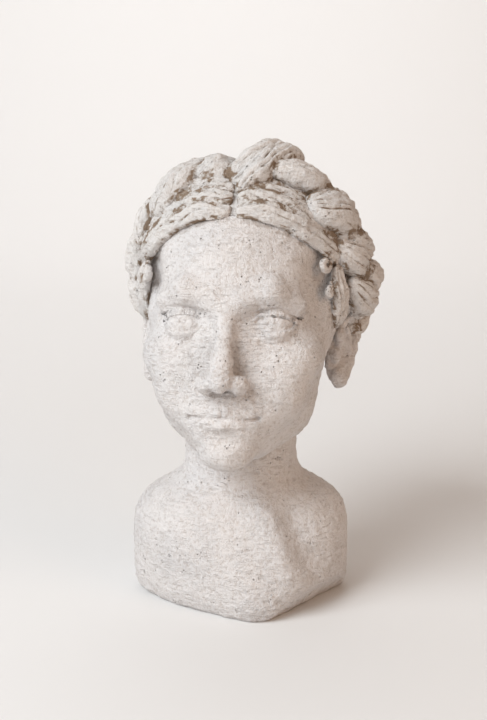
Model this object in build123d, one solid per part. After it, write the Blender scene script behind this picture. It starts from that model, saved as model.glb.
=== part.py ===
"""A hand-built clay bust of a woman with a braided crown of hair, a quarter of a metre tall.

It is made the way such a head is made on the bench. A hollow shoulder block carries a neck tube,
the head shell sits on the neck, and its skull cap was cut off for hollowing and luted back on.
The nose, eyeballs, lids, lips and ears are lumps of clay pressed on, and every lock of hair is one
strip or roll of clay pressed on in turn. Each piece touches its neighbours face to face.

Millimetres. +Z is up, the bust looks along -Y, and the origin is the middle of the standing face.
"""

import os
from math import cos, exp, pi, radians, sin

from build123d import *

# ---------------------------------------------------------------- driving dimensions
HEAD_HEIGHT = 158.0  # chin to crown, under the hair
SKULL_RADII = (54.5, 67.0, 58.0)  # half width, half depth and half height of the skull
SKULL_BACK_SHIFT = 10.0  # the skull's centre behind the neck's axis
HEAD_BASE_Z = 75.5  # the foot of the head's own frame above the table
HEAD_TURN = -9.0  # degrees, towards the bust's own right shoulder
HEAD_TILT = -9.0  # degrees, chin up
WALL = 15.0  # clay left by hollowing

NECK_SEAT_Z = 66.0  # where the neck's foot meets the shoulders
NECK_RADIUS = 31.5
NECK_AXIS_Y = 6.0
BORE_RADIUS = 14.0  # the firing vent that joins the hollows

# Shoulder block, level by level: height, half width, front and back, squareness of the front half
# and how far its breast point leans to the bust's own left.
SHOULDER_LEVELS = [
    (0.0, 57.0, -50.0, 49.0, 1.35, 9.0),
    (8.0, 60.0, -54.0, 52.0, 1.4, 9.0),
    (26.0, 60.5, -51.0, 53.0, 1.6, 8.0),
    (42.0, 60.0, -45.0, 51.0, 1.8, 5.0),
    (53.0, 55.5, -38.5, 48.0, 1.9, 2.0),
    (60.0, 46.0, -32.0, 44.0, 2.0, 0.0),
    (NECK_SEAT_Z, 35.0, -26.5, 40.0, 2.0, 0.0),
]
# Face and jaw below the skull's widest level: height above the chin, half width, front and back.
JAW_LEVELS = [
    (0.0, 12.0, -52.0, -31.0),
    (7.0, 23.0, -58.5, -12.0),
    (18.0, 33.0, -60.0, 4.0),
    (33.0, 41.0, -58.5, 24.0),
    (48.0, 46.5, -57.5, 44.0),
    (66.0, 51.0, -56.0, 63.0),
    (82.0, 53.5, -57.0, 73.0),
]
CROWN_LEVELS = 6

NOSE_LEVELS = [  # height above the chin, half width, middle and half depth
    (88.0, 4.5, -57.0, 4.0),
    (75.0, 5.5, -58.0, 7.0),
    (60.0, 7.5, -60.5, 12.0),
    (49.0, 11.5, -61.5, 16.5),
    (43.0, 9.5, -60.5, 12.5),
]
EYE_SPACING = 43.6  # pupil to pupil, two eye widths
EYE_Z = 77.0
EYE_RADIUS = 10.5
EYE_Y = -42.5
LID_THICKNESS = 1.6

BRAID_LOBES = 17
BRAID_LIFT = 7.0
BAND_WIDTH = 11.5
BAND_THICKNESS = 10.0

SKULL_CENTRE = Vector(0, SKULL_BACK_SHIFT, HEAD_HEIGHT - SKULL_RADII[2])
NOD_PIVOT = Pos(0, NECK_AXIS_Y, 20)  # the top of the neck, in the head's own frame
HEAD_PLACE = (
    Pos(0, 0, HEAD_BASE_Z) * Rot(0, 0, HEAD_TURN) * NOD_PIVOT * Rot(HEAD_TILT, 0, 0) * NOD_PIVOT.inverse()
)


# ---------------------------------------------------------------- shapes used again and again
def ring_face(z, half_width, front, back, squareness=2.0, front_squareness=None, lean=0.0):
    """A closed, rounded level: an ellipse at squareness 2, nearer a rectangle above it.

    The front half may have its own squareness, and lean moves its foremost point sideways.
    """
    middle, half_depth = (front + back) / 2, (back - front) / 2
    points = 20
    corners = []
    for k in range(points):
        angle = 2 * pi * k / points
        across, along = cos(angle), sin(angle)
        power = front_squareness if front_squareness and along < 0 else squareness
        swell = (abs(across) ** power + abs(along) ** power) ** (-1 / power)
        x = half_width * across * swell + lean * max(0.0, -along) ** 2
        corners.append((x, middle + half_depth * along * swell, z))
    return Face(Wire([Spline(*corners, periodic=True)]))


def blob(centre, radii, turn=(0, 0, 0)):
    """A pressed lump of clay: an ellipsoid turned about its own centre."""
    return Pos(*centre) * Rot(*turn) * scale(Sphere(1), by=radii)


def skull_direction(azimuth, elevation):
    """Azimuth 0 is the face and 90 the bust's left ear; elevation is above the skull's middle."""
    a, e = radians(azimuth), radians(elevation)
    return Vector(sin(a) * cos(e), -cos(a) * cos(e), sin(e))


def skull_point(azimuth, elevation, lift=0.0):
    way = skull_direction(azimuth, elevation)
    rx, ry, rz = SKULL_RADII
    return SKULL_CENTRE + Vector(way.X * (rx + lift), way.Y * (ry + lift), way.Z * (rz + lift))


def skull_normal(point):
    away = point - SKULL_CENTRE
    rx, ry, rz = SKULL_RADII
    return Vector(away.X / rx**2, away.Y / ry**2, away.Z / rz**2).normalized()


def strip(route, width, thickness, taper=0.55):
    """A strip of clay laid along a route on the skull, widest in its middle."""
    places = [skull_point(*stop) for stop in route]
    last = len(places) - 1
    sections = []
    for k, place in enumerate(places):
        along = (places[min(k + 1, last)] - places[max(k - 1, 0)]).normalized()
        across = along.cross(skull_normal(place)).normalized()
        share = taper + (1 - taper) * sin(pi * k / last)
        outline = Ellipse(width / 2 * share, thickness / 2 * share)
        sections.append(Plane(origin=place, x_dir=across, z_dir=along) * outline)
    return loft(sections)


def biggest(shape):
    """The main solid of a cut piece, without the crumbs that a cut can leave."""
    return max(shape.solids(), key=lambda solid: solid.volume)


def boxes_touch(a, b):
    first, second = a.bounding_box(), b.bounding_box()
    return all(
        low < high
        for low, high in (
            *zip(tuple(first.min), tuple(second.max)),
            *zip(tuple(second.min), tuple(first.max)),
        )
    )


def seated(piece, *neighbours):
    """The piece cut back to lie face to face on what is already there."""
    under = [other for other in neighbours if boxes_touch(piece, other)]
    return biggest(piece - under) if under else piece


# ---------------------------------------------------------------- shoulders, neck and head
def shoulder_base():
    block = loft([ring_face(z, w, f, b, 2.2, fs, lean) for z, w, f, b, fs, lean in SHOULDER_LEVELS])
    # The knife cut under the front left edge, and two small ones at the right and the back.
    undercuts = [
        Plane(origin=(34, -30, 4), z_dir=(0.62, -0.52, -0.58)),
        Plane(origin=(-50, -14, 2), z_dir=(-0.50, -0.30, -0.80)),
        Plane(origin=(0, 46, 3), z_dir=(0.05, 0.70, -0.72)),
    ]
    for cut in undercuts:
        block = split(block, bisect_by=cut, keep=Keep.BOTTOM)
    hollow = loft(
        [
            Pos(0, 4, -1) * Ellipse(37, 29),
            Pos(0, 4, 24) * Ellipse(36, 29),
            Pos(0, 4, 46) * Ellipse(23, 22),
            Pos(0, NECK_AXIS_Y, 56) * Circle(BORE_RADIUS),
        ]
    )
    return biggest(block - hollow - vent(0, NECK_SEAT_Z + 1))


def vent(low, high):
    """The straight bore up the neck, between two heights."""
    return Pos(0, NECK_AXIS_Y, (low + high) / 2) * Cylinder(BORE_RADIUS, high - low)


def neck(head_outside):
    _, half_width, front, back, *_ = SHOULDER_LEVELS[-1]
    r, y = NECK_RADIUS, NECK_AXIS_Y
    tube = loft(
        [
            ring_face(NECK_SEAT_Z, half_width, front, back),
            ring_face(75, r, y - r, y + r + 1),
            ring_face(88, r, y - r, y + r + 3),
            ring_face(122, r + 2, y - r, y + r + 6),
        ]
    )
    return biggest(tube - head_outside - vent(NECK_SEAT_Z - 1, 145))


def head_block():
    """The solid head before hollowing, with its two orbits pressed in."""
    rx, ry, rz = SKULL_RADII
    levels = [ring_face(z, w, f, b, 2.15) for z, w, f, b in JAW_LEVELS]
    for k in range(CROWN_LEVELS):
        rise = radians(k * 83 / (CROWN_LEVELS - 1))
        front, back = SKULL_CENTRE.Y - ry * cos(rise), SKULL_CENTRE.Y + ry * cos(rise)
        levels.append(ring_face(SKULL_CENTRE.Z + rz * sin(rise), rx * cos(rise), front, back))
    block = loft(levels)
    for side in (-1, 1):
        block -= blob((side * 21, -65, EYE_Z - 1), (17, 13, 9.5), (0, 0, side * 12))
    return biggest(block)


def hollow():
    """The inside of the head, scooped out from above."""
    rx, ry, rz = (radius - WALL for radius in SKULL_RADII)
    return blob(tuple(SKULL_CENTRE), (rx, ry, rz))


def shell_halves(block):
    """The head shell below the wire cut and the skull cap above it."""
    bore = HEAD_PLACE.inverse() * vent(0, HEAD_BASE_Z + SKULL_CENTRE.Z)
    shell = block - hollow() - bore
    cut = Plane(origin=(0, 10, 117), z_dir=(0, 0.30, 1))
    lower = split(shell, bisect_by=cut, keep=Keep.BOTTOM)
    upper = split(shell, bisect_by=cut, keep=Keep.TOP)
    return biggest(lower), biggest(upper)


# ---------------------------------------------------------------- the face's own lumps
def eyeball(side):
    return blob((side * EYE_SPACING / 2, EYE_Y, EYE_Z), (EYE_RADIUS,) * 3)


def eyelid(side, upper):
    """A strip of clay over the eyeball, from its edge down to the lid's margin."""
    centre = (side * EYE_SPACING / 2, EYE_Y, EYE_Z)
    skin = blob(centre, (EYE_RADIUS + LID_THICKNESS,) * 3)
    tilt = (0, 0.18, 1) if upper else (0, 0.40, -1)
    skin = split(skin, bisect_by=Plane(origin=centre, z_dir=tilt), keep=Keep.TOP)
    return split(skin, bisect_by=Plane(origin=centre, z_dir=(0, -1, 0)), keep=Keep.TOP)


def nose():
    return loft([ring_face(z, w, y - d, y + d) for z, w, y, d in NOSE_LEVELS])


def lips():
    lower = blob((0, -58.5, 26.0), (13.0, 6.2, 4.2))
    upper = blob((0, -58.5, 32.2), (16.0, 6.0, 3.6))
    return upper, lower


def ear(side):
    """A thick disc of clay set on edge behind the jaw, with its bowl thumbed out."""
    turn = (-10, 0, -side * 24)
    disc = blob((side * 53.5, 14, 66), (6.5, 14.5, 22.0), turn)
    bowl = blob((side * 58.5, 9.5, 67), (5.0, 7.5, 12.0), turn)
    return disc - bowl


# ---------------------------------------------------------------- hair
def front_band_routes(side):
    """Four strips a side, from the parting down over the temple and back under the braid."""
    for n in range(4):
        yield [
            (side * 3.0, 36.0 + 8.5 * n, 1.5),
            (side * 24.0, 34.5 + 8.5 * n, 2.5),
            (side * 46.0, 26.0 + 8.7 * n, 2.5),
            (side * 66.0, 14.0 + 8.5 * n, 2.5),
            (side * 84.0, 5.0 + 5.0 * n, 1.0),
        ]


def braid_elevation(azimuth):
    """The braid lies over the top in front, drops steeply over the ears and lies low at the nape."""
    off = abs((azimuth + 180) % 360 - 180)
    return -22.0 + 92.0 / (1 + exp((off - 80.0) / 13.0))


def bump(azimuth, middle, spread):
    """A rise that is 1 at one azimuth and fades away on both sides of it."""
    off = (azimuth - middle + 180) % 360 - 180
    return exp(-((off / spread) ** 2))


def braid_lift(azimuth):
    """How far the braid's middle stands off the skull: least at the parting, most beside it."""
    return BRAID_LIFT * (1 - 0.7 * bump(azimuth, 0, 26)) + 3.0 * bump(azimuth, 42, 20)


def braid_azimuths():
    """Azimuths that space the lobes evenly along the ring, from one side of the parting round."""
    steps = 360
    ring = [skull_point(k, braid_elevation(k), braid_lift(k)) for k in range(steps + 1)]
    travelled = [0.0]
    for before, after in zip(ring, ring[1:]):
        travelled.append(travelled[-1] + (after - before).length)
    for n in range(BRAID_LOBES):
        goal = travelled[-1] * (n + 0.5) / BRAID_LOBES
        yield next(k for k, length in enumerate(travelled) if length >= goal)


def braid_lobe(azimuth, number):
    """One plump turn of the braid, lying aslant across the ring."""
    place = skull_point(azimuth, braid_elevation(azimuth), braid_lift(azimuth))
    onward = skull_point(azimuth + 3, braid_elevation(azimuth + 3), braid_lift(azimuth + 3))
    out = skull_normal(place)
    along = (onward - place).normalized()
    slant = radians(31 + 8 * sin(2.4 * number))
    across = out.cross(along)
    axis = along * cos(slant) + across * sin(slant)
    swell = 0.95 + 0.07 * sin(radians(azimuth)) + 0.07 * sin(1.7 * number)
    swell -= 0.38 * bump(azimuth, 0, 26)
    lump = scale(Sphere(1), by=(18.5 * swell, 12.5 * swell, 11.0 * swell))
    return Plane(origin=place, x_dir=axis, z_dir=out).location * lump


def crown_routes(side):
    """Four combed strips a side, from the parting over the crown and under the braid."""
    yield [(side * 14, 80, 0.5), (side * 50, 76, 1.5), (side * 68, 60, 1.5), (side * 78, 32, 0)]
    yield [(side * 164, 80, 0.5), (side * 112, 64, 1.5), (side * 98, 36, 1.5), (side * 94, 6, 0)]
    yield [(side * 173, 60, 0.5), (side * 140, 46, 1.5), (side * 122, 16, 1.5), (side * 114, -12, 0)]
    yield [(side * 175, 38, 0.5), (side * 158, 26, 1.5), (side * 148, 4, 1.5), (side * 142, -18, 0)]


def nape_routes(side):
    """Two strips a side, combed up from the nape to the braid."""
    yield [(side * 173, -54, 0.0), (side * 170, -40, 1.5), (side * 169, -24, 0.5)]
    yield [(side * 143, -50, 0.0), (side * 144, -36, 1.5), (side * 147, -20, 0.5)]


SIDE_LOCKS = {
    "left_side_lock_front": [(69, 7, 2.0), (73, -8, 2.5), (79, -22, 1.5)],
    "left_side_lock_back": [(83, 4, 2.0), (86, -7, 3.0), (90, -18, 2.0)],
    "right_side_lock": [(-70, 7, 2.0), (-74, -8, 2.5), (-79, -22, 1.5)],
}
TEMPLE_CURLS = {
    "left_temple_curl_upper": (57, 10, 6.5),
    "left_temple_curl_lower": (61, -3, 5.5),
    "right_temple_curl": (-62, 3, 6.0),
}


def combed_strips(side):
    """One side's strips by name, whole, in the order they were pressed on."""
    for n, route in enumerate(front_band_routes(side), 1):
        yield f"front_band_{n}", strip(route, BAND_WIDTH, BAND_THICKNESS, 0.7)
    for n, route in enumerate(crown_routes(side), 1):
        yield f"crown_strip_{n}", strip(route, 31, 9, 0.8)
    for n, route in enumerate(nape_routes(side), 1):
        yield f"nape_strip_{n}", strip(route, 29, 8, 0.8)


def hair(block, ears):
    """Every strip and roll, each seated on the head and on the ones pressed on before it."""
    whole, made = {}, {}

    def press_on(name, raw):
        made[name] = seated(raw, block, *ears, *whole.values())
        whole[name] = raw

    for name, raw in combed_strips(1):
        press_on(f"left_{name}", raw)
    for name, raw in list(combed_strips(-1)):
        made[f"right_{name}"] = mirror(made[f"left_{name}"], about=Plane.YZ)
        whole[f"right_{name}"] = raw
    for name, (azimuth, elevation, radius) in TEMPLE_CURLS.items():
        press_on(name, blob(tuple(skull_point(azimuth, elevation, 1.5)), (radius,) * 3, (25, 35, 15)))
    for name, route in SIDE_LOCKS.items():
        press_on(name, strip(route, 12, 10, 0.6))
    for n, azimuth in enumerate(braid_azimuths(), 1):
        press_on(f"braid_lobe_{n:02d}", braid_lobe(azimuth, n))
    return made


# ---------------------------------------------------------------- the whole bust
def bust():
    """Every piece by name, in its place on the standing bust."""
    block = head_block()
    eyes = {side: seated(eyeball(side), block) for side in (1, -1)}
    made = {"nose": seated(nose(), block)}
    upper_lip, lower_lip = lips()
    made["lower_lip"] = seated(lower_lip, block)
    made["upper_lip"] = seated(upper_lip, block, made["lower_lip"], made["nose"])
    for side, word in ((1, "left"), (-1, "right")):
        made[f"{word}_eyeball"] = eyes[side]
        for upper, name in ((True, "upper"), (False, "lower")):
            lid = seated(eyelid(side, upper), eyeball(side), block, made["nose"])
            made[f"{word}_{name}_eyelid"] = lid
        made[f"{word}_ear"] = seated(ear(side), block)
    made.update(hair(block, (made["left_ear"], made["right_ear"])))
    made["head"], made["skull_cap"] = shell_halves(block)
    placed = {name: HEAD_PLACE * shape for name, shape in made.items()}
    placed["neck"] = neck(HEAD_PLACE * block)
    placed["shoulder_base"] = shoulder_base()
    return placed


def standing_on_origin(pieces):
    """Moves all the pieces together so that the origin is the middle of the bust's footprint box."""
    boxes = [shape.bounding_box() for shape in pieces.values()]
    low_x, low_y, low_z = (min(tuple(box.min)[k] for box in boxes) for k in range(3))
    high_x, high_y = (max(tuple(box.max)[k] for box in boxes) for k in range(2))
    shift = Pos(-(low_x + high_x) / 2, -(low_y + high_y) / 2, -low_z)
    return {name: shift * shape for name, shape in pieces.items()}


os.makedirs("parts", exist_ok=True)
for name, shape in standing_on_origin(bust()).items():
    export_step(shape, f"parts/{name}.step")
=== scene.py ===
"""The looks of a hand-built clay bust: a woman's head with a braided crown of hair.

Sizes are in millimetres. Most are given in the head's own frame, where the chin's
underside is at height 0, the face looks along -Y and +X is the bust's own left. seat() turns and
lifts such points on to the neck and gives metres in the frame that the CAD model uses.
"""

import bmesh
import bpy
import numpy as np
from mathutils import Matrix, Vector


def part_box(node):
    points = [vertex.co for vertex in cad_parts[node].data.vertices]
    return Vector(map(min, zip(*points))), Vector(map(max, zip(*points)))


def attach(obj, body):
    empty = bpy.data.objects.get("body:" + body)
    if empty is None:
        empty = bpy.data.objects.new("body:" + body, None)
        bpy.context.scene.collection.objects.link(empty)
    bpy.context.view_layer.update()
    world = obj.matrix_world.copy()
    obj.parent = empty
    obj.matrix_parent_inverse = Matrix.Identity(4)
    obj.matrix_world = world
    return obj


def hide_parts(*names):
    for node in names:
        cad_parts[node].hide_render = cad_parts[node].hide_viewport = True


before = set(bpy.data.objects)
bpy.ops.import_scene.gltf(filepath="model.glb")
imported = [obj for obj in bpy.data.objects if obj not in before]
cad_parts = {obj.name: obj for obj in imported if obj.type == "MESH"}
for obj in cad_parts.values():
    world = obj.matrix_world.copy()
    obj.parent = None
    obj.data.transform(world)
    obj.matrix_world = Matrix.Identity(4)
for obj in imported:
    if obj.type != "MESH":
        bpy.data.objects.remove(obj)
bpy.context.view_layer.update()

# ---------------------------------------------------------------- driving sizes
MM = 0.001
HEAD_BASE_Z = 75.5
NOD_PIVOT = np.array([0.0, 6.0, 20.0])
SKULL_RADII = np.array([54.5, 67.0, 58.0])
SKULL_CENTRE = np.array([0.0, 10.0, 100.0])
EYE_SPACING = 43.6
EYE_Z = 77.0
NECK_SEAT_Z = 66.0
NECK_SEAT_FRONT = -26.5
NECK_AXIS_Y = 6.0
BORE_RADIUS = 14.0
HEAD_TURN = np.radians(-9.0)  # towards the bust's own right shoulder
HEAD_TILT = np.radians(-9.0)  # chin up
HEAD_VOXEL, EAR_VOXEL, SHOULDER_VOXEL = 1.3, 0.6, 1.15

neck_low, neck_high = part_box("neck")
AXIS_SHIFT = np.array([
    (neck_low.x + neck_high.x) / 2 / MM,
    neck_low.y / MM - NECK_SEAT_FRONT,
    0.0,
])
TURNED = np.array([
    [np.cos(HEAD_TURN), -np.sin(HEAD_TURN), 0],
    [np.sin(HEAD_TURN), np.cos(HEAD_TURN), 0],
    [0, 0, 1],
])
TILTED = np.array([
    [1, 0, 0],
    [0, np.cos(HEAD_TILT), -np.sin(HEAD_TILT)],
    [0, np.sin(HEAD_TILT), np.cos(HEAD_TILT)],
])
HEAD_AXES = TURNED @ TILTED
HEAD_FOOT = TURNED @ NOD_PIVOT + [0, 0, HEAD_BASE_Z] + AXIS_SHIFT


def seat(points):
    """Points of the head's own frame, in place on the neck."""
    return ((points - NOD_PIVOT) @ HEAD_AXES.T + HEAD_FOOT) * MM


def unseat(points):
    """The other way: points of the bust's frame in metres, in the head's own frame."""
    return (points / MM - HEAD_FOOT) @ HEAD_AXES + NOD_PIVOT


# ---------------------------------------------------------------- clay by numbers
def smooth(low, high, x):
    """0 at low, 1 at high and an easy rise between."""
    share = np.clip((x - low) / (high - low), 0.0, 1.0)
    return share * share * (3 - 2 * share)


def lattice(cell, seed):
    """One settled random number from 0 to 1 for each corner of a lattice of cells."""
    mixed = cell[:, 0] * 374761393 + cell[:, 1] * 668265263 + cell[:, 2] * 2147483647 + seed * 974634777
    mixed = (mixed ^ (mixed >> 13)) * 1274126177
    mixed = (mixed ^ (mixed >> 16)) & 0xFFFFFF
    return mixed / 0xFFFFFF


def unevenness(points, size, seed=0):
    """Soft random hills and hollows from -1 to 1, about one every size millimetres."""
    scaled = points / size
    base = np.floor(scaled).astype(np.int64)
    part = scaled - base
    part = part * part * (3 - 2 * part)
    total = np.zeros(len(points))
    for corner in np.ndindex(2, 2, 2):
        weight = np.prod(np.where(corner, part, 1 - part), axis=1)
        total += weight * lattice(base + np.array(corner), seed)
    return total * 2 - 1


def coordinates(mesh):
    flat = np.empty(len(mesh.vertices) * 3)
    mesh.vertices.foreach_get("co", flat)
    return flat.reshape(-1, 3)


def move_to(mesh, points):
    mesh.vertices.foreach_set("co", np.ascontiguousarray(points, dtype=np.float32).ravel())
    mesh.update()


def normals(mesh):
    flat = np.empty(len(mesh.vertices) * 3, dtype=np.float32)
    mesh.vertex_normals.foreach_get("vector", flat)
    return flat.reshape(-1, 3).astype(float)


def mark(mesh, name, values):
    """Keeps one number a vertex, for the finish to read."""
    layer = mesh.attributes.get(name) or mesh.attributes.new(name, "FLOAT", "POINT")
    layer.data.foreach_set("value", np.ascontiguousarray(values, dtype=np.float32))


def piece_from(bm, name):
    """A new smooth-shaded object with its place in its mesh."""
    mesh = bpy.data.meshes.new(name)
    bm.to_mesh(mesh)
    bm.free()
    mesh.shade_smooth()
    piece = bpy.data.objects.new(name, mesh)
    bpy.context.scene.collection.objects.link(piece)
    return piece


def remeshed(piece, voxel):
    """The piece's lumps grown together into one even skin."""
    remesh = piece.modifiers.new("one_skin", "REMESH")
    remesh.mode = "VOXEL"
    remesh.voxel_size = voxel * MM
    remesh.use_smooth_shade = True
    evaluated = piece.evaluated_get(bpy.context.evaluated_depsgraph_get())
    mesh = bpy.data.meshes.new_from_object(evaluated)
    piece.modifiers.clear()
    piece.data = mesh
    mesh.name = piece.name
    mesh.shade_smooth()
    return piece


def relaxed(mesh, points, share, rounds):
    """Each point drawn towards the mean of its neighbours, by share, as a damp thumb does."""
    ends = np.empty(len(mesh.edges) * 2, dtype=np.int64)
    mesh.edges.foreach_get("vertices", ends)
    ends = ends.reshape(-1, 2)
    count = np.bincount(ends.ravel(), minlength=len(points)).astype(float)[:, None]
    share = np.asarray(share, dtype=float).reshape(-1, 1)
    for _ in range(rounds):
        total = np.zeros_like(points)
        for k in range(3):
            total[:, k] = np.bincount(ends[:, 0], points[ends[:, 1], k], len(points))
            total[:, k] += np.bincount(ends[:, 1], points[ends[:, 0], k], len(points))
        points = points + share * (total / count - points)
    return points


# ---------------------------------------------------------------- lumps that blend into each other
def egg(centre, radii):
    """Distance to an ellipsoid of clay."""
    centre, radii = np.array(centre, float), np.array(radii, float)

    def distance(points):
        out = (points - centre) / radii
        near = np.linalg.norm(out, axis=1)
        slope = np.linalg.norm(out / radii, axis=1) + 1e-9
        return near * (near - 1.0) / slope

    distance.centre, distance.radii = centre, radii
    return distance


def roll(start, end, start_radius, end_radius):
    """Distance to a roll of clay that tapers from one end to the other."""
    start, end = np.array(start, float), np.array(end, float)

    def distance(points):
        way = end - start
        share = np.clip((points - start) @ way / (way @ way), 0.0, 1.0)
        radius = start_radius + (end_radius - start_radius) * share
        return np.linalg.norm(points - start - share[:, None] * way, axis=1) - radius

    distance.centre = (start + end) / 2
    distance.radii = np.abs(end - start) / 2 + max(start_radius, end_radius)
    distance.line = (start, end, start_radius, end_radius)
    return distance


def pressed_on(body, lump, blend):
    """The body with a lump added, the joint filled over about blend millimetres."""
    mixing = np.clip(0.5 + 0.5 * (body - lump) / blend, 0.0, 1.0)
    return body + (lump - body) * mixing - blend * mixing * (1 - mixing)


def pressed_in(body, lump, blend):
    return -pressed_on(-body, lump, blend)


def grown_together(points, lumps):
    """Distance to the lumps, each blended in turn into what is there."""
    body = None
    for lump, blend in lumps:
        distance = lump(points)
        body = distance if body is None else pressed_on(body, distance, blend)
    return body


def drawn_on(points, field, rounds):
    """The points moved on to the surface where the field is nought."""
    step = 0.15
    for _ in range(rounds):
        here = field(points)
        slope = np.empty_like(points)
        for k in range(3):
            shifted = points.copy()
            shifted[:, k] += step
            slope[:, k] = (field(shifted) - here) / step
        steepness = np.maximum((slope**2).sum(axis=1), 0.05)
        shift = slope * (here / steepness)[:, None]
        length = np.linalg.norm(shift, axis=1)
        shift *= (np.minimum(length, 1.5) / np.maximum(length, 1e-9))[:, None]
        points = points - shift
    return points


def rough_lumps(name, lumps, voxel, place):
    """The lumps as plain balls and rolls, grown together into one skin that can then be drawn on."""
    bm = bmesh.new()
    for lump in lumps:
        made = bmesh.ops.create_icosphere(bm, subdivisions=4, radius=1.0)["verts"]
        line = getattr(lump, "line", None)
        for vertex in made:
            way = np.array(vertex.co)
            if line is None:
                spot = lump.centre + way * lump.radii
            else:
                start, end, first, last = line
                ahead = way @ (end - start) > 0
                spot = (end + way * last) if ahead else (start + way * first)
            vertex.co = spot
    piece = piece_from(bm, name)
    move_to(piece.data, place(coordinates(piece.data)))
    return remeshed(piece, voxel)


# ---------------------------------------------------------------- head and face
BOTH_SIDES = (1, -1)


def head_lumps():
    """The head's big masses: each a lump and how widely it blends into what is there."""
    yield egg(SKULL_CENTRE, SKULL_RADII), 1.0
    yield egg((0, -8, 75), (47, 50, 58)), 14.0
    yield egg((0, -24, 34), (33, 34, 32)), 16.0
    yield egg((0, -50, 10.5), (13.5, 11, 10)), 11.0
    for side in BOTH_SIDES:
        yield egg((side * 32, -34, 60), (16, 18, 12)), 12.0
        yield egg((side * 30, -10, 38), (10, 20, 19)), 14.0
        yield egg((side * 24, -43, 44), (15, 13, 16)), 12.0


def face_lumps():
    """What is pressed on for the face: brows, nose, mouth and chin."""
    yield egg((0, -55, 90), (10, 5, 8)), 8.0
    yield egg((0, -50, 30), (21, 12.5, 15)), 9.0
    yield roll((0, -57.0, 88), (0, -66.5, 58), 4.2, 5.0), 5.0
    yield roll((0, -66.5, 58), (0, -71.5, 49.5), 5.0, 6.4), 4.0
    for side in BOTH_SIDES:
        yield roll((side * 8, -56.5, 91), (side * 22, -54, 95), 4.4, 4.8), 7.0
        yield roll((side * 22, -54, 94.5), (side * 36, -44.5, 88), 4.6, 2.6), 8.0
        yield egg((side * 8.2, -65, 47.3), (5.4, 7.6, 5.2)), 3.2


EYE_CENTRE = np.array([EYE_SPACING / 2, -43.5, EYE_Z])
BALL_RADIUS = 11.6


def eye_forms(body, mirrored):
    """A ball in its socket under a full upper lid and a thin lower one, the iris lightly drawn."""
    away = mirrored - EYE_CENTRE
    reach = np.linalg.norm(away, axis=1)
    across = (away[:, 0] - 0.4) / 11.4
    arch = np.sqrt(np.clip(1 - across**2, 0.0, 1.0))
    upper_margin = 4.9 * arch + 0.7 * across - 0.2
    lower_margin = -3.5 * arch**1.3 + 0.7 * across - 0.2
    body = pressed_on(body, reach - BALL_RADIUS, 0.8)
    upper_lid = np.maximum(reach - BALL_RADIUS - 2.1, upper_margin - away[:, 2])
    lower_lid = np.maximum(reach - BALL_RADIUS - 1.5, away[:, 2] - lower_margin)
    body = pressed_on(body, upper_lid, 0.8)
    body = pressed_on(body, lower_lid, 0.8)
    crease = np.abs(reach - BALL_RADIUS - 2.4) * 0.8 + np.abs(away[:, 2] - upper_margin - 3.3) - 0.75
    body = pressed_in(body, crease, 1.2)
    from_gaze = np.hypot(away[:, 0], away[:, 2] - 0.7)
    in_front = smooth(-8.0, -10.0, away[:, 1])
    body = body + 0.22 * np.exp(-(((from_gaze - 4.3) / 0.5) ** 2)) * in_front
    return body + 0.5 * np.exp(-((from_gaze / 1.3) ** 2)) * in_front


def mouth_forms(body, mirrored):
    """Two full lips that meet in a soft line, a groove above and a hollow below."""
    body = pressed_on(body, roll((1.8, -62.0, 32.7), (15.0, -57.6, 30.0), 3.2, 1.4)(mirrored), 1.8)
    body = pressed_on(body, roll((0, -61.3, 25.2), (11.0, -58.6, 27.0), 4.1, 2.3)(mirrored), 2.0)
    body = pressed_in(body, roll((0, -66.0, 29.5), (8, -64.2, 28.9), 0.8, 0.8)(mirrored), 1.0)
    body = pressed_in(body, roll((8, -64.2, 28.9), (17.5, -57.4, 29.6), 0.9, 1.1)(mirrored), 1.2)
    body = pressed_in(body, roll((0, -67.0, 41.0), (0, -66.8, 36.6), 1.8, 2.2)(mirrored), 2.0)
    return pressed_in(body, egg((0, -66.0, 18.6), (11, 5.0, 3.6))(mirrored), 5.0)


def head_field(points):
    """Distance to the finished head, before its surface is roughened."""
    mirrored = points.copy()
    mirrored[:, 0] = np.abs(points[:, 0])
    under_cap = smooth(0.0, 8.0, (points - [0, 10, 115]) @ np.array([0, 0.287, 0.958]))
    body = grown_together(points, head_lumps()) + 1.6 * under_cap
    body = pressed_in(body, egg((49, -36, 98), (9, 20, 17))(mirrored), 12.0)
    body = pressed_in(body, egg((22.5, -65.5, 79.5), (16.0, 12.5, 10.5))(mirrored), 7.0)
    for lump, blend in face_lumps():
        body = pressed_on(body, lump(points), blend)
    body = eye_forms(body, mirrored)
    body = mouth_forms(body, mirrored)
    return pressed_in(body, egg((4.4, -71.5, 42.4), (2.1, 3.8, 2.4))(mirrored), 1.2)


def refined(piece, chosen, cuts):
    """The piece with the faces round the chosen points cut finer, for small forms."""
    bm = bmesh.new()
    bm.from_mesh(piece.data)
    bm.verts.ensure_lookup_table()
    faces = {face for k in np.flatnonzero(chosen) for face in bm.verts[k].link_faces}
    edges = list({edge for face in faces for edge in face.edges})
    bmesh.ops.subdivide_edges(bm, edges=edges, cuts=cuts, use_grid_fill=True)
    bm.to_mesh(piece.data)
    bm.free()
    piece.data.shade_smooth()


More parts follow.
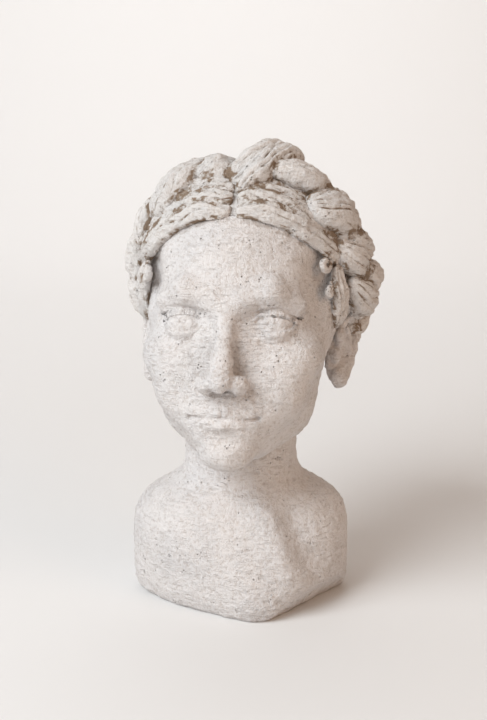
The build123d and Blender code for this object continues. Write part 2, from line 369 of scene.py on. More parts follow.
def clay_skin(mesh, place_back, seed, calm=1.0):
    """Thumb marks, tool drag and coarse grains, pressed into a finished form."""
    points = coordinates(mesh)
    local = place_back(points)
    out = normals(mesh)
    height = 0.34 * unevenness(local, 9.0, seed) + 0.20 * unevenness(local, 4.0, seed + 1)
    height += 0.30 * unevenness(local * np.array([0.45, 0.45, 1.6]), 2.0, seed + 2)
    grains = unevenness(local, 1.7, seed + 3)
    height += 0.22 * grains + 0.22 * smooth(0.55, 0.85, grains)
    pits = smooth(0.66, 0.86, unevenness(local, 2.1, seed + 4))
    height -= 0.32 * pits
    move_to(mesh, points + out * (height * calm * MM)[:, None])


def head():
    """The head with the face on it, cut finer round the eyes, the nose and the mouth."""
    lumps = [lump for lump, _ in head_lumps()] + [lump for lump, _ in face_lumps()]
    lumps += [egg(EYE_CENTRE * [side, 1, 1], (12, 12, 12)) for side in BOTH_SIDES]
    piece = rough_lumps("head_and_face", lumps, HEAD_VOXEL, seat)
    points = drawn_on(unseat(coordinates(piece.data)), head_field, 7)
    points = relaxed(piece.data, points, 0.5, 2)
    move_to(piece.data, seat(points))
    x, y, z = points.T
    eyes = (np.hypot((np.abs(x) - EYE_CENTRE[0]) / 14.5, (z - EYE_Z - 1) / 11.0) < 1) & (y < -30)
    mouth_and_nose = (np.hypot(x / 20.0, (z - 38) / 19.0) < 1) & (y < -48)
    refined(piece, eyes | mouth_and_nose, 2)
    points = drawn_on(unseat(coordinates(piece.data)), head_field, 3)
    points = relaxed(piece.data, points, 0.35, 1)
    points = drawn_on(points, head_field, 1)
    move_to(piece.data, seat(points))
    clay_skin(piece.data, unseat, 11)
    return piece


# ---------------------------------------------------------------- ears
EAR_PLACE = (53.8, 13.0, 62.0)
EAR_SIZE = 0.94
EAR_FLARE, EAR_LEAN = np.radians(22), np.radians(-10)
EAR_RIM = [  # backwards, up and the roll's radius at each stop
    (-5.5, 1.0, 2.2), (-8.0, 8.0, 2.4), (-5.5, 16.0, 2.7), (0.5, 20.0, 2.9), (7.0, 18.0, 2.9),
    (11.0, 11.0, 2.8), (11.5, 2.0, 2.6), (9.0, -7.0, 2.6), (4.5, -14.0, 3.0), (-1.0, -18.0, 3.6),
    (-5.0, -15.0, 3.0),
]
EAR_FOLD = [(1.0, 13.5, 1.8), (5.5, 8.0, 2.2), (6.0, 1.0, 2.3), (3.5, -6.5, 2.3), (-1.5, -10.5, 2.4)]


def ear_lumps():
    """In the ear's own frame: x backwards, y up and z away from the head."""
    yield egg((1.5, 0, -4.0), (11, 19, 5.5)), 1.0
    for chain, lift in ((EAR_RIM, 1.6), (EAR_FOLD, 1.0)):
        for first, last in zip(chain, chain[1:]):
            start, end = (*first[:2], lift), (*last[:2], lift)
            yield roll(start, end, first[2], last[2]), 1.4
    yield egg((-6.8, -4.0, 0.5), (3.0, 4.6, 3.2)), 1.8
    yield egg((-1.0, -16.0, 0.0), (6.0, 6.0, 3.4)), 3.0


def ear_field(points):
    body = grown_together(points, ear_lumps())
    return pressed_in(body, egg((-0.5, -2.0, 3.4), (5.2, 7.6, 4.2))(points), 2.0)


def ear(side, name):
    """A thick disc of clay on edge, its rim rolled over and its bowl thumbed out."""
    outward = np.array([side * np.cos(EAR_FLARE), -np.sin(EAR_FLARE), 0.0])
    backward = np.array([side * np.sin(EAR_FLARE), np.cos(EAR_FLARE), 0.0])
    upward = np.array([0.0, 0.0, 1.0]) * np.cos(EAR_LEAN) - backward * np.sin(EAR_LEAN)
    backward = backward * np.cos(EAR_LEAN) + np.array([0.0, 0.0, 1.0]) * np.sin(EAR_LEAN)
    centre = np.array(EAR_PLACE) * [side, 1, 1]
    axes = EAR_SIZE * np.stack([backward, upward, outward])

    def place(points):
        return seat(centre + points @ axes)

    def place_back(points):
        return (unseat(points) - centre) @ axes.T / EAR_SIZE**2

    piece = rough_lumps(name, [lump for lump, _ in ear_lumps()], EAR_VOXEL, place)
    if side < 0:
        piece.data.flip_normals()
    points = drawn_on(place_back(coordinates(piece.data)), ear_field, 6)
    points = relaxed(piece.data, points, 0.4, 2)
    move_to(piece.data, place(points))
    clay_skin(piece.data, unseat, 23, 0.8)
    return piece


# ---------------------------------------------------------------- hair
def skull_place(azimuth, elevation, lift):
    """Azimuth 0 is the face and 90 the bust's left ear; elevation is above the skull's middle."""
    a, e = np.radians(azimuth), np.radians(elevation)
    way = np.stack([np.sin(a) * np.cos(e), -np.cos(a) * np.cos(e), np.sin(e)], axis=-1)
    return SKULL_CENTRE + way * (SKULL_RADII + np.asarray(lift)[..., None])


def skull_out(points):
    """The way straight out from the skull at each point."""
    way = (points - SKULL_CENTRE) / SKULL_RADII**2
    return way / np.linalg.norm(way, axis=1)[:, None]


def smooth_line(stops, share):
    """Points at shares of a smooth line through the stops."""
    stops = np.array(stops, float)
    ends = np.vstack([2 * stops[0] - stops[1], stops, 2 * stops[-1] - stops[-2]])
    place = share * (len(stops) - 1)
    k = np.minimum(place.astype(int), len(stops) - 2)
    f = (place - k)[:, None]
    a, b, c, d = (ends[k + n] for n in range(4))
    bend, twist = 2 * a - 5 * b + 4 * c - d, 3 * b - a - 3 * c + d
    return 0.5 * (2 * b + (c - a) * f + bend * f**2 + twist * f**3)


def drawn_roll(unit, stops, width, thickness, strands, depth, seed, blunt=0.4, swirl=0.0):
    """A ball's points pulled out along the stops into a roll of hair that a comb was drawn down."""
    length = np.linalg.norm(np.diff(np.array(stops, float), axis=0), axis=1).sum()
    share = np.arccos(np.clip(unit[:, 2], -1, 1)) / np.pi
    turn = np.arctan2(unit[:, 1], unit[:, 0])
    centre = smooth_line(stops, share)
    ahead = smooth_line(stops, np.minimum(share + 0.01, 1))
    ahead -= smooth_line(stops, np.maximum(share - 0.01, 0))
    ahead /= np.linalg.norm(ahead, axis=1)[:, None]
    out = skull_out(centre)
    across = np.cross(ahead, out)
    across /= np.linalg.norm(across, axis=1)[:, None]
    out = np.cross(across, ahead)
    swell = np.clip(4 * share * (1 - share), 0, 1) ** blunt
    wander = np.stack([share * length / 14, np.full_like(share, seed * 3.7), np.zeros_like(share)], axis=1)
    swell *= 1 + 0.14 * unevenness(wander, 1.0, seed)
    aside, up = np.cos(turn), np.sin(turn)
    sheet = np.stack([share * length / 11, aside * width / 9, np.full_like(share, seed * 1.3)], axis=1)
    drift = 0.22 * unevenness(sheet, 1.0, seed + 5)
    phase = strands * (aside * 0.5 + 0.5 + drift / strands * 2.2 + swirl * (share - 0.5))
    groove = 1 - np.abs(np.sin(np.pi * phase)) ** 0.8
    fade = 0.30 + 0.70 * smooth(-0.45, 0.35, unevenness(sheet * [1.0, 2.5, 1.0], 1.0, seed + 9))
    face_up = smooth(-0.35, 0.35, up)
    groove = groove * fade * face_up
    hairs = np.abs(np.sin(np.pi * (phase * 3.1 + 0.8 * drift)))
    rise = 0.5 * thickness * swell * np.sign(up) * np.abs(up) ** 0.85
    reach = 0.5 * width * swell * np.sign(aside) * np.abs(aside) ** 0.9
    reach += 1.0 * unevenness(wander * 1.7, 1.0, seed + 3) * np.sqrt(swell)
    rise = rise - (depth * groove + 0.22 * depth * (1 - hairs) * face_up) * swell
    points = centre + across * reach[:, None] + out * rise[:, None]
    lumpy = 0.75 * unevenness(points, 7.0, seed + 20) + 0.42 * unevenness(points, 2.9, seed + 21)
    lumpy += 0.24 * unevenness(points, 1.4, seed + 22)
    side_way = across * aside[:, None] + out * up[:, None]
    return points + side_way * (lumpy * np.sqrt(swell))[:, None], groove


def combed(name, *rolls):
    """One piece of hair: a roll, or several pressed together. Each is what drawn_roll() is given."""
    bm = bmesh.new()
    tag = bm.verts.layers.int.new("roll")
    for number, (stops, width, thickness, *_) in enumerate(rolls):
        length = np.linalg.norm(np.diff(np.array(stops, float), axis=0), axis=1).sum()
        along = int(np.clip(length / 0.8, 40, 130))
        around = int(np.clip((width + thickness) * 2.6, 36, 110))
        ball = bmesh.ops.create_uvsphere(bm, u_segments=around, v_segments=along, radius=1.0)
        for vertex in ball["verts"]:
            vertex[tag] = number
    piece = piece_from(bm, name)
    unit = coordinates(piece.data)
    tags = np.empty(len(unit), dtype=np.int32)
    piece.data.attributes["roll"].data.foreach_get("value", tags)
    grooves = np.empty(len(unit))
    for number, roll in enumerate(rolls):
        chosen = tags == number
        unit[chosen], grooves[chosen] = drawn_roll(unit[chosen], *roll)
    move_to(piece.data, seat(unit))
    mark(piece.data, "groove", grooves)
    return piece


def stops_on_skull(route):
    return [skull_place(*stop) for stop in route]


# Routes over the skull on the bust's left: azimuth, elevation and lift at each stop. The front bands
# run from the parting down over the temple and back under the braid.
FRONT_ROUTES = [
    [
        (1.4, 37.0 + 8.2 * n, 1.0),
        (22.0, 35.8 + 8.2 * n, 2.4),
        (45.0, 27.6 + 8.5 * n, 2.6),
        (66.0, 15.0 + 8.5 * n, 2.6),
        (86.0, 5.0 + 5.5 * n, 1.5),
    ]
    for n in range(4)
]
CROWN_ROUTES = [
    [(14, 80, 0.5), (50, 76, 1.5), (68, 60, 1.5), (78, 34, 0.5)],
    [(164, 80, 0.5), (112, 64, 1.5), (98, 36, 1.5), (94, 8, 0.5)],
    [(173, 60, 0.5), (140, 46, 1.5), (122, 16, 1.5), (114, -10, 0.5)],
    [(175, 38, 0.5), (158, 26, 1.5), (148, 4, 1.5), (142, -17, 0.5)],
]
NAPE_ROUTES = [
    [(173, -56, -2.0), (170, -40, 1.5), (169, -22, 0.5)],
    [(143, -52, -2.0), (144, -36, 1.5), (147, -18, 0.5)],
]
# Each kind of strip: its routes, width, thickness, strands, groove depth, first seed and bluntness.
STRIPS = {
    "front_band": (FRONT_ROUTES, 14.5, 9.5, 3, 2.2, 0, 0.26),
    "crown_strip": (CROWN_ROUTES, 38.0, 10.0, 9, 1.4, 50, 0.24),
    "nape_strip": (NAPE_ROUTES, 32.0, 9.0, 8, 1.3, 150, 0.26),
}
SIDE_LOCKS = {
    "left_side_lock_front": [(67, 9, 2.5), (71, -5, 3.0), (75, -15, 2.8), (81, -24, 1.0)],
    "left_side_lock_back": [(82, 6, 2.5), (85, -6, 3.4), (89, -18, 2.6)],
    "right_side_lock": [(-68, 9, 2.5), (-72, -5, 3.0), (-76, -15, 2.8), (-82, -24, 1.0)],
}
TEMPLE_CURLS = {  # azimuth, elevation and radius
    "left_temple_curl_upper": (58, 9, 6.0),
    "left_temple_curl_lower": (62, -4, 5.2),
    "right_temple_curl": (-62, 3, 6.0),
}
BRAID_LOBES = 17
BRAID_LIFT = 7.0


def braid_elevation(azimuth):
    """The ring lies high over the forehead and low on the nape."""
    off = np.abs((azimuth + 180) % 360 - 180)
    return -22.0 + 92.0 / (1 + np.exp((off - 80.0) / 13.0))


def bump(azimuth, middle, spread):
    """1 at the middle azimuth, falling away on both sides."""
    off = (azimuth - middle + 180) % 360 - 180
    return np.exp(-((off / spread) ** 2))


def braid_place(azimuth):
    lift = BRAID_LIFT * (1 - 0.7 * bump(azimuth, 0, 26)) + 3.0 * bump(azimuth, 42, 20)
    return skull_place(azimuth, braid_elevation(azimuth), lift)


def braid_azimuths():
    """Azimuths that space the lobes evenly along the ring."""
    azimuths = np.arange(361.0)
    ring = braid_place(azimuths)
    travelled = np.concatenate([[0.0], np.cumsum(np.linalg.norm(np.diff(ring, axis=0), axis=1))])
    for n in range(BRAID_LOBES):
        yield float(azimuths[np.argmax(travelled >= travelled[-1] * (n + 0.5) / BRAID_LOBES)])


# How some turns of the braid differ: how many rolls they are of, their size and how far out they lie.
BRAID_TURNS = {
    1: (3, 1.14, 1.5),
    2: (2, 1.00, 2.0),
    3: (1, 1.20, 1.0),
    4: (2, 1.02, 1.0),
    5: (2, 1.12, 3.5),
    6: (3, 1.08, 3.5),
    12: (2, 0.95, 0.5),
    15: (2, 0.92, 0.5),
    16: (1, 1.16, 0.5),
    17: (2, 0.90, 0.0),
}


def braid_lobe(azimuth, number):
    """One turn of the braid: rolls that come up from under the last turn and go down under the next."""
    count, size, further = BRAID_TURNS.get(number, (1 + number % 3, 1.0, 0.0))
    place = braid_place(np.array(azimuth))
    ahead = braid_place(np.array(azimuth + 3)) - place
    ahead /= np.linalg.norm(ahead)
    out = skull_out(place[None])[0]
    across = np.cross(out, ahead)
    slant = np.radians(27 + 12 * np.sin(2.4 * number))
    axis = ahead * np.cos(slant) + across * np.sin(slant)
    aside = np.cross(out, axis)
    swell = 0.95 + 0.07 * np.sin(np.radians(azimuth)) + 0.07 * np.sin(1.7 * number)
    swell = (swell - 0.36 * bump(azimuth, 0, 24)) * size
    half = 22.0 * swell
    width, thickness = 25.0 * swell, 18.5 * swell
    rolls = []
    for k in range(count):
        off = (k - (count - 1) / 2) * width / (count + 0.7)
        higher = further + 1.3 * np.sin(2.9 * k + number)
        stops = []
        for share in (-1.0, -0.5, 0.0, 0.5, 1.0):
            bend = 3.0 * np.sin(share * 2.2) * swell + 1.2 * np.sin(2.3 * share + 1.7 * k + number)
            drop = 7.5 * share**2 - 0.5 - higher
            stops.append(place + axis * half * share + aside * (bend + off) - out * drop)
        share_width = width * (1.35 / count if count > 1 else 1.0)
        share_thickness = thickness * (1 - 0.06 * count)
        strands = max(2, round(share_width / 5.0))
        seed = 100 + 7 * number + k
        rolls.append((stops, share_width, share_thickness, strands, 1.9, seed, 0.42, 0.3))
    return combed(f"braid_lobe_{number:02d}", *rolls)


def curl(name, azimuth, elevation, radius):
    """A thin roll wound up into a snail and pressed flat at the temple."""
    middle = skull_place(azimuth, elevation, 1.5)
    out = skull_out(middle[None])[0]
    east = np.cross([0, 0, 1.0], out)
    east /= np.linalg.norm(east)
    north = np.cross(out, east)
    hand = np.sign(azimuth)
    stops = []
    for k in range(12):
        angle = k * 0.72
        reach = radius * (0.12 + 0.07 * k)
        lift = 0.7 - 0.08 * k
        way = east * np.cos(angle) * hand + north * np.sin(angle)
        stops.append(middle + way * reach + out * lift)
    return combed(name, (stops, radius * 0.66, radius * 0.6, 2, 0.4, int(azimuth) % 97, 0.3))


def hair():
    """Every strip and roll by its CAD node's name."""
    made = {}
    for side, word in ((1, "left"), (-1, "right")):
        for kind, (routes, width, thickness, strands, depth, first_seed, blunt) in STRIPS.items():
            for n, route in enumerate(routes):
                name = f"{word}_{kind}_{n + 1}"
                stops = stops_on_skull([(side * a, e, lift) for a, e, lift in route])
                seed = first_seed + 10 * n + side + 1
                made[name] = combed(name, (stops, width, thickness, strands, depth, seed, blunt))
    for k, (name, route) in enumerate(SIDE_LOCKS.items()):
        made[name] = combed(name, (stops_on_skull(route), 15.0, 9.0, 4, 2.2, 200 + k, 0.36, 0.1))
    for name, (azimuth, elevation, radius) in TEMPLE_CURLS.items():
        made[name] = curl(name, azimuth, elevation, radius)
    for number, azimuth in enumerate(braid_azimuths(), 1):
        made[f"braid_lobe_{number:02d}"] = braid_lobe(azimuth, number)
    return made


# ---------------------------------------------------------------- neck and shoulders
def copied_nodes(name, nodes, extra):
    """One new piece from merged copies of CAD nodes."""
    bm = bmesh.new()
    for node in nodes:
        bm.from_mesh(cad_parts[node].data)
    bmesh.ops.remove_doubles(bm, verts=bm.verts, dist=1e-6)
    extra(bm)
    return piece_from(bm, name)


def neck_collar(bm):
    """A tube that carries the neck on up, out of sight inside the head."""
    middle = Vector((AXIS_SHIFT[0] * MM, (NECK_AXIS_Y + AXIS_SHIFT[1]) * MM, 0))
    low, high, outer = 90, 128, 30.5
    corners = []
    for radius, height in ((BORE_RADIUS, low), (outer, low), (outer, high), (BORE_RADIUS, high)):
        corners.append(bm.verts.new(middle + Vector((radius * MM, 0, height * MM))))
    edges = [bm.edges.new((corners[k], corners[(k + 1) % 4])) for k in range(4)]
    bmesh.ops.spin(
        bm, geom=corners + edges, cent=middle, axis=(0, 0, 1), angle=2 * np.pi, steps=64, use_merge=True
    )


def shoulders_field_moves(local):
    """How far each point of the shoulders is pushed along its normal, in millimetres."""
    x, y, z = local.T
    outside = smooth(0.0, 4.0, np.hypot(x, y - 4) - 38.0 * np.clip((58 - z) / 30, 0.4, 1))
    push = np.zeros(len(local))
    # The breast ridge runs from the pit of the neck down to the foremost point on the left.
    ridge_share = np.clip((66 - z) / 60, 0, 1)
    ridge_x = 8 + 26 * ridge_share
    off = x - ridge_x
    in_front = smooth(5.0, -20.0, y)
    ridge_fades = smooth(8.0, 24.0, z) * smooth(70.0, 56.0, z)
    hollow_fades = smooth(18.0, 34.0, z) * smooth(66.0, 50.0, z)
    push += 3.2 * np.exp(-((off / 9.0) ** 2)) * in_front * ridge_fades
    push -= 4.2 * np.exp(-(((off - 15) / 9.0) ** 2)) * in_front * hollow_fades
    push += 1.6 * np.exp(-(((x + 30) / 16.0) ** 2)) * in_front * smooth(20, 40, z)
    return push * outside


def shoulders():
    """The shoulder block and the neck, their joint smoothed over and the breast ridge drawn up."""
    piece = copied_nodes("shoulders_and_neck", ["shoulder_base", "neck"], neck_collar)
    remeshed(piece, SHOULDER_VOXEL)
    mesh = piece.data
    points = coordinates(mesh)
    local = points / MM - AXIS_SHIFT
    seam = np.exp(-(((local[:, 2] - NECK_SEAT_Z) / 9.0) ** 2))
    radius = np.hypot(local[:, 0], local[:, 1] - NECK_AXIS_Y)
    outer = smooth(BORE_RADIUS + 3, BORE_RADIUS + 6, radius)
    points = relaxed(mesh, points, 0.9 * seam * outer, 60)
    points = relaxed(mesh, points, 0.5 * outer, 3)
    move_to(mesh, points)
    local = points / MM - AXIS_SHIFT
    push = shoulders_field_moves(local)
    move_to(mesh, points + normals(mesh) * (push * MM)[:, None])
    points = relaxed(mesh, coordinates(mesh), 0.5 * outer, 2)
    points[:, 2] = np.maximum(points[:, 2], 0.0)
    move_to(mesh, points)
    clay_skin(mesh, lambda p: p / MM - AXIS_SHIFT, 41, 1.1)
    points = coordinates(mesh)
    points[:, 2] = np.maximum(points[:, 2], 0.0)
    move_to(mesh, points)
    return piece


# ---------------------------------------------------------------- where two pieces of clay meet
def mark_crevices(pieces):
    """Marks the points that lie within a cell or two of another piece's skin."""
    cell = 1.0 * MM
    clouds = [coordinates(piece.data) for piece in pieces]
    low = np.min([cloud.min(axis=0) for cloud in clouds], axis=0) - 4 * cell
    high = np.max([cloud.max(axis=0) for cloud in clouds], axis=0) + 4 * cell
    shape = tuple(np.ceil((high - low) / cell).astype(int) + 1)
    first = np.full(shape, 30000, dtype=np.int16)
    last = np.full(shape, -1, dtype=np.int16)
    places = [tuple(((cloud - low) / cell).astype(int).T) for cloud in clouds]
    for number, place in enumerate(places):
        first[place] = np.minimum(first[place], number)
        last[place] = np.maximum(last[place], number)
    depth = np.zeros(shape, dtype=np.float32)
    for _ in range(2):
        for axis in range(3):
            first = np.minimum(first, np.minimum(np.roll(first, 1, axis), np.roll(first, -1, axis)))
            last = np.maximum(last, np.maximum(np.roll(last, 1, axis), np.roll(last, -1, axis)))
        depth += 0.5 * ((last >= 0) & (first < last))
    for piece, place in zip(pieces, places):
        values = depth[place]
        values = relaxed(piece.data, np.repeat(values[:, None], 3, axis=1).astype(float), 0.5, 3)[:, 0]
        mark(piece.data, "crevice", values)


# ---------------------------------------------------------------- finishes
def group(name, inputs, outputs):
    """An empty node group with named sockets; returns it with its two end nodes."""
    tree = bpy.data.node_groups.new(name, "ShaderNodeTree")
    for label, kind, value in inputs:
        socket = tree.interface.new_socket(label, in_out="INPUT", socket_type=kind)
        if value is not None:
            socket.default_value = value
    for label, kind in outputs:
        tree.interface.new_socket(label, in_out="OUTPUT", socket_type=kind)
    return tree, tree.nodes.new("NodeGroupInput"), tree.nodes.new("NodeGroupOutput")


def math_node(tree, operation, first, second=None, third=None, clamp=False):
    node = tree.nodes.new("ShaderNodeMath")
    node.operation = operation
    node.use_clamp = clamp
    for socket, value in zip(node.inputs, (first, second, third)):
        if value is None:
            continue
        if isinstance(value, (int, float)):
            socket.default_value = value
        else:
            tree.links.new(value, socket)
    return node.outputs[0]


def noise(tree, vector, scale, detail=2.0, roughness=0.5):
    node = tree.nodes.new("ShaderNodeTexNoise")
    tree.links.new(vector, node.inputs["Vector"])
    node.inputs["Scale"].default_value = scale
    node.inputs["Detail"].default_value = detail
    node.inputs["Roughness"].default_value = roughness
    return node.outputs["Fac"]


def stretched(tree, vector, size, turn):
    node = tree.nodes.new("ShaderNodeMapping")
    node.inputs["Scale"].default_value = size
    node.inputs["Rotation"].default_value = turn
    tree.links.new(vector, node.inputs["Vector"])
    return node.outputs["Vector"]


def ramp(tree, value, low, high, low_out=0.0, high_out=1.0):
    node = tree.nodes.new("ShaderNodeMapRange")
    node.interpolation_type = "SMOOTHSTEP"
    tree.links.new(value, node.inputs["Value"])
    node.inputs["From Min"].default_value = low
    node.inputs["From Max"].default_value = high
    node.inputs["To Min"].default_value = low_out
    node.inputs["To Max"].default_value = high_out
    return node.outputs["Result"]


def grog_and_pinholes():
    """Coarse grains that stand proud and pinholes where others fell out."""
    tree, given, out = group(
        "grog_and_pinholes",
        [("Vector", "NodeSocketVector", None), ("Coarseness", "NodeSocketFloat", 1.0)],
        [("Height", "NodeSocketFloat"), ("Pinholes", "NodeSocketFloat"), ("Grain", "NodeSocketFloat")],
    )
    vector = given.outputs["Vector"]
    cells = tree.nodes.new("ShaderNodeTexVoronoi")
    cells.inputs["Scale"].default_value = 520.0
    tree.links.new(vector, cells.inputs["Vector"])
    chosen = ramp(tree, noise(tree, vector, 190.0, 1.0), 0.63, 0.70)
    holes = math_node(tree, "MULTIPLY", ramp(tree, cells.outputs["Distance"], 0.30, 0.12), chosen)
    fine = noise(tree, vector, 1250.0, 3.0, 0.7)
    coarse = noise(tree, vector, 480.0, 2.0, 0.6)
    grain = math_node(tree, "MULTIPLY_ADD", fine, 0.45, math_node(tree, "MULTIPLY", coarse, 0.55))
    grain = math_node(tree, "MULTIPLY", grain, given.outputs["Coarseness"])
    height = math_node(tree, "SUBTRACT", grain, math_node(tree, "MULTIPLY", holes, 0.9))
    tree.links.new(height, out.inputs["Height"])
    tree.links.new(holes, out.inputs["Pinholes"])
    tree.links.new(grain, out.inputs["Grain"])
    return tree


def tool_drag():
    """Short dragged scratches, one set nearly level and one aslant."""
    tree, given, out = group(
        "tool_drag",
        [("Vector", "NodeSocketVector", None)],
        [("Scratches", "NodeSocketFloat")],
    )
    vector = given.outputs["Vector"]
    level = noise(tree, stretched(tree, vector, (150, 150, 760), (0.25, -0.2, 0)), 1.0, 3.0, 0.65)
    aslant = noise(tree, stretched(tree, vector, (160, 160, 800), (0.7, 0.9, 0.3)), 1.0, 3.0, 0.65)
    where = ramp(tree, noise(tree, vector, 55.0, 1.0), 0.40, 0.60)
    first = math_node(tree, "MULTIPLY", ramp(tree, level, 0.54, 0.66), where)
    second = math_node(tree, "MULTIPLY", ramp(tree, aslant, 0.56, 0.68), 0.8)
    tree.links.new(math_node(tree, "MAXIMUM", first, second), out.inputs["Scratches"])
    return tree


def attribute(tree, name):
    node = tree.nodes.new("ShaderNodeAttribute")
    node.attribute_name = name
    return node.outputs["Fac"]


def tint(tree, factor, under, over):
    """under, with over laid on it by factor; each a socket or a colour."""
    node = tree.nodes.new("ShaderNodeMix")
    node.data_type = "RGBA"
    for socket, value in ((node.inputs[0], factor), (node.inputs[6], under), (node.inputs[7], over)):
        if isinstance(value, tuple):
            socket.default_value = (*value, 1.0)
        else:
            tree.links.new(value, socket)
    return node.outputs[2]


def clay_finish(name, groups, pale, cool, dirt, groove_dirt):
    """Unglazed, dry clay. groove_dirt is how much brown is left where a comb or a joint cut in."""
    material = bpy.data.materials.new(name)
    material.use_nodes = True
    tree = material.node_tree
    tree.nodes.clear()
    shader = tree.nodes.new("ShaderNodeBsdfPrincipled")
    output = tree.nodes.new("ShaderNodeOutputMaterial")
    tree.links.new(shader.outputs[0], output.inputs["Surface"])
    place = tree.nodes.new("ShaderNodeTexCoord").outputs["Object"]
    made = {}
    for key, shared in groups.items():
        node = tree.nodes.new("ShaderNodeGroup")
        node.node_tree = shared
        tree.links.new(place, node.inputs["Vector"])
        made[key] = node
    holes = made["grog"].outputs["Pinholes"]
    grain = made["grog"].outputs["Grain"]
    scratches = made["drag"].outputs["Scratches"]
    patches = ramp(tree, noise(tree, place, 26.0, 3.0, 0.6), 0.35, 0.68)
    colour = tint(tree, patches, pale, cool)
    colour = tint(tree, math_node(tree, "MULTIPLY", ramp(tree, grain, 0.50, 0.38), 0.30), colour, dirt)
    colour = tint(tree, math_node(tree, "MULTIPLY", scratches, 0.13), colour, dirt)
    colour = tint(tree, math_node(tree, "MULTIPLY", holes, 0.6), colour, tuple(0.6 * c for c in dirt))
    cut_in = math_node(tree, "MAXIMUM", attribute(tree, "groove"), attribute(tree, "crevice"))
    speckle = ramp(tree, noise(tree, place, 150.0, 3.0, 0.7), 0.44, 0.60)
    brown = math_node(tree, "MULTIPLY", ramp(tree, cut_in, 0.36, 0.72), speckle)
    brown = math_node(tree, "MULTIPLY", brown, groove_dirt, clamp=True)
    colour = tint(tree, brown, colour, tuple(0.8 * c for c in dirt))
    tree.links.new(colour, shader.inputs["Base Color"])
    tree.links.new(ramp(tree, grain, 0.3, 0.7, 0.98, 0.86), shader.inputs["Roughness"])
    shader.inputs["Specular IOR Level"].default_value = 0.22
    scored = math_node(tree, "MULTIPLY", scratches, 0.16)
    height = math_node(tree, "SUBTRACT", made["grog"].outputs["Height"], scored)
    bump_node = tree.nodes.new("ShaderNodeBump")
    bump_node.inputs["Strength"].default_value = 1.0
    bump_node.inputs["Distance"].default_value = 0.0022
    tree.links.new(height, bump_node.inputs["Height"])
    tree.links.new(bump_node.outputs["Normal"], shader.inputs["Normal"])
    return material


def finish(piece, material, slot, *nodes):
    """Gives a piece its finish; if the CAD nodes it stands for are given, hides them and puts the piece on
    the root body.
    """
    piece.data.materials.clear()
    piece.data.materials.append(material)
    if nodes:
        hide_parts(*nodes)
        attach(piece, "root")


# ---------------------------------------------------------------- the studio
def backdrop():
    """A pale sheet that lies flat under the bust and sweeps up behind it, with painted light: darker at
    the front and lighter towards the back.
    """
    bm = bmesh.new()
    half_width, front, top = 2.5, -2.2, 2.6
    bend_start, bend_radius = 0.9, 0.7
    profile = [bm.verts.new((-half_width, y, 0.0)) for y in (front, bend_start)]
    for k in range(1, 13):
        angle = np.pi / 2 * k / 12
        y = bend_start + bend_radius * np.sin(angle)
        profile.append(bm.verts.new((-half_width, y, bend_radius * (1 - np.cos(angle)))))
    profile.append(bm.verts.new((-half_width, bend_start + bend_radius, top)))
    edges = [bm.edges.new(pair) for pair in zip(profile, profile[1:])]
    extruded = bmesh.ops.extrude_edge_only(bm, edges=edges)["geom"]
    moved = [item for item in extruded if isinstance(item, bmesh.types.BMVert)]
    bmesh.ops.translate(bm, verts=moved, vec=(2 * half_width, 0, 0))
    bmesh.ops.recalc_face_normals(bm, faces=bm.faces)
    sheet = piece_from(bm, "paper_sweep")
    material = bpy.data.materials.new("pale_paper")
    material.use_nodes = True
    tree = material.node_tree
    shader = tree.nodes["Principled BSDF"]
    split = tree.nodes.new("ShaderNodeSeparateXYZ")
    tree.links.new(tree.nodes.new("ShaderNodeTexCoord").outputs["Object"], split.inputs[0])
    # Painted light: the sheet's colour runs from darker at the front to lighter at the back, standing in
    # for more light on the wall and less on the floor.
    painted_wall_light = ramp(tree, split.outputs["Y"], 0.1, 1.2)
    colour = tint(tree, painted_wall_light, (0.76, 0.75, 0.74), (0.88, 0.875, 0.87))
    tree.links.new(colour, shader.inputs["Base Color"])
    shader.inputs["Roughness"].default_value = 0.9
    sheet.data.materials.append(material)


def soft_light(name, place, aim, size, power, colour):
    lamp = bpy.data.lights.new(name, "AREA")
    lamp.shape = "DISK"
    lamp.size = size
    lamp.energy = power
    lamp.color = colour
    light = bpy.data.objects.new(name, lamp)
    light.location = place
    light.rotation_euler = (Vector(aim) - Vector(place)).to_track_quat("-Z", "Y").to_euler()
    bpy.context.scene.collection.objects.link(light)


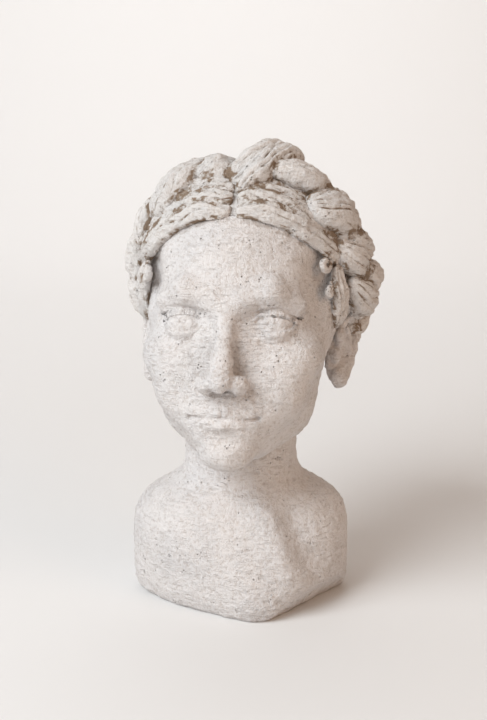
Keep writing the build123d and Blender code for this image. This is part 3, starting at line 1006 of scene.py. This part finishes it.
def studio():
    backdrop()
    chest = (0, 0, 0.13)
    soft_light("window", (-1.0, -0.95, 1.15), chest, 1.25, 33, (0.90, 0.96, 1.0))
    soft_light("room_fill", (1.3, -1.0, 0.7), chest, 1.2, 6.5, (1.0, 0.66, 0.42))
    soft_light("wall_wash", (0.0, 0.7, 1.3), (0, 1.6, 0.35), 0.9, 5.5, (0.97, 0.99, 1.0))
    world = bpy.data.worlds.new("room")
    world.use_nodes = True
    world.node_tree.nodes["Background"].inputs["Color"].default_value = (1.0, 0.83, 0.72, 1)
    world.node_tree.nodes["Background"].inputs["Strength"].default_value = 0.30
    bpy.context.scene.world = world
    bpy.context.scene.view_settings.view_transform = "Standard"


def camera():
    lens = bpy.data.cameras.new("camera")
    lens.lens = 64.9
    lens.clip_start = 0.01
    eye = bpy.data.objects.new("camera", lens)
    target = Vector((-0.0043, -0.0069, 0.1312))
    tilt, distance = np.radians(13.0), 0.72
    eye.location = target + Vector((0, -np.cos(tilt), np.sin(tilt))) * distance
    eye.rotation_euler = (target - eye.location).to_track_quat("-Z", "Y").to_euler()
    bpy.context.scene.collection.objects.link(eye)
    bpy.context.scene.camera = eye


# ---------------------------------------------------------------- the whole bust
camera()
studio()

shared_effects = {"grog": grog_and_pinholes(), "drag": tool_drag()}
bare_clay = clay_finish(
    "bare_clay", shared_effects, (0.78, 0.74, 0.72), (0.73, 0.70, 0.69), (0.36, 0.27, 0.20), 0.4
)
combed_clay = clay_finish(
    "combed_clay", shared_effects, (0.77, 0.73, 0.70), (0.71, 0.68, 0.66), (0.34, 0.25, 0.18), 1.1
)

face_nodes = ["head", "nose", "upper_lip", "lower_lip"]
for part in ("eyeball", "upper_eyelid", "lower_eyelid"):
    face_nodes += [f"left_{part}", f"right_{part}"]
head_piece = head()
finish(head_piece, bare_clay, "bare_clay", *face_nodes)
shoulder_piece = shoulders()
finish(shoulder_piece, bare_clay, "bare_clay", "shoulder_base", "neck")
ear_pieces = []
for side, word in ((1, "left"), (-1, "right")):
    ear_pieces.append(ear(side, f"sculpted_{word}_ear"))
    finish(ear_pieces[-1], bare_clay, "bare_clay", f"{word}_ear")
hair_pieces = hair()
for node, piece in hair_pieces.items():
    finish(piece, combed_clay, "combed_clay", node)
    piece.name = f"combed_{node}"
finish(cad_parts["skull_cap"], combed_clay, "combed_clay")
mark_crevices([head_piece, shoulder_piece, *ear_pieces, *hair_pieces.values()])
